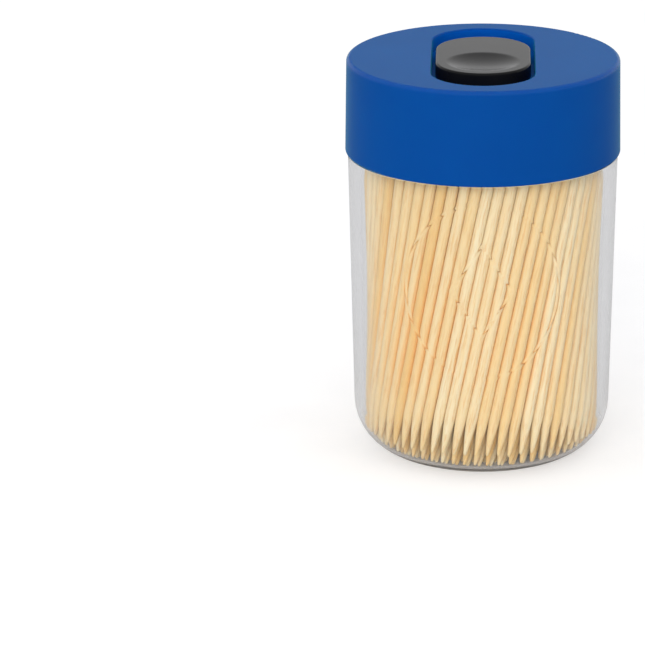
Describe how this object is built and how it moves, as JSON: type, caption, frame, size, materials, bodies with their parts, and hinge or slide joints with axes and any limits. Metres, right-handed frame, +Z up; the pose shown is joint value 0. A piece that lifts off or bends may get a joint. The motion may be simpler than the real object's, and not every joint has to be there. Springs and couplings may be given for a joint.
{
  "type": "toothpick dispenser",
  "caption": "Clear round jar of wooden toothpicks with a blue push-on lid; a black slider in a recess of the lid opens and closes the dispensing hole.",
  "frame": {"origin": "middle of the jar's foot, on the surface that it stands on", "axes": "+Z up along the jar's axis; the slider runs along Y, with the dispensing hole at the -Y end, which is the front; +Y opens the slider"},
  "size_m": [0.0554, 0.0554, 0.0824],
  "materials": {
    "clear_plastic": "clear, polished",
    "blue_plastic": "glossy royal blue",
    "black_plastic": "satin black",
    "pale_wood": "bare pale wood"
  },
  "bodies": {
    "jar_body": {"jar": "clear_plastic", "toothpicks_sector_01": "pale_wood", "toothpicks_sector_02": "pale_wood", "toothpicks_sector_03": "pale_wood", "toothpicks_sector_04": "pale_wood", "toothpicks_sector_05": "pale_wood", "toothpicks_sector_06": "pale_wood", "toothpicks_sector_07": "pale_wood", "toothpicks_sector_08": "pale_wood", "toothpicks_sector_09": "pale_wood", "toothpicks_sector_10": "pale_wood", "toothpicks_sector_11": "pale_wood", "toothpicks_sector_12": "pale_wood"},
    "lid_body": {"lid": "blue_plastic"},
    "slider_body": {"slider": "black_plastic"}
  },
  "joints": [
    {"name": "lid_lift", "type": "slide", "parent": "jar_body", "child": "lid_body", "axis": [0, 0, 1], "range_m": [0, 0.04]},
    {"name": "slider_slide", "type": "slide", "parent": "lid_body", "child": "slider_body", "axis": [0, 1, 0], "range_m": [-0.00675, 0.00575]}
  ]
}
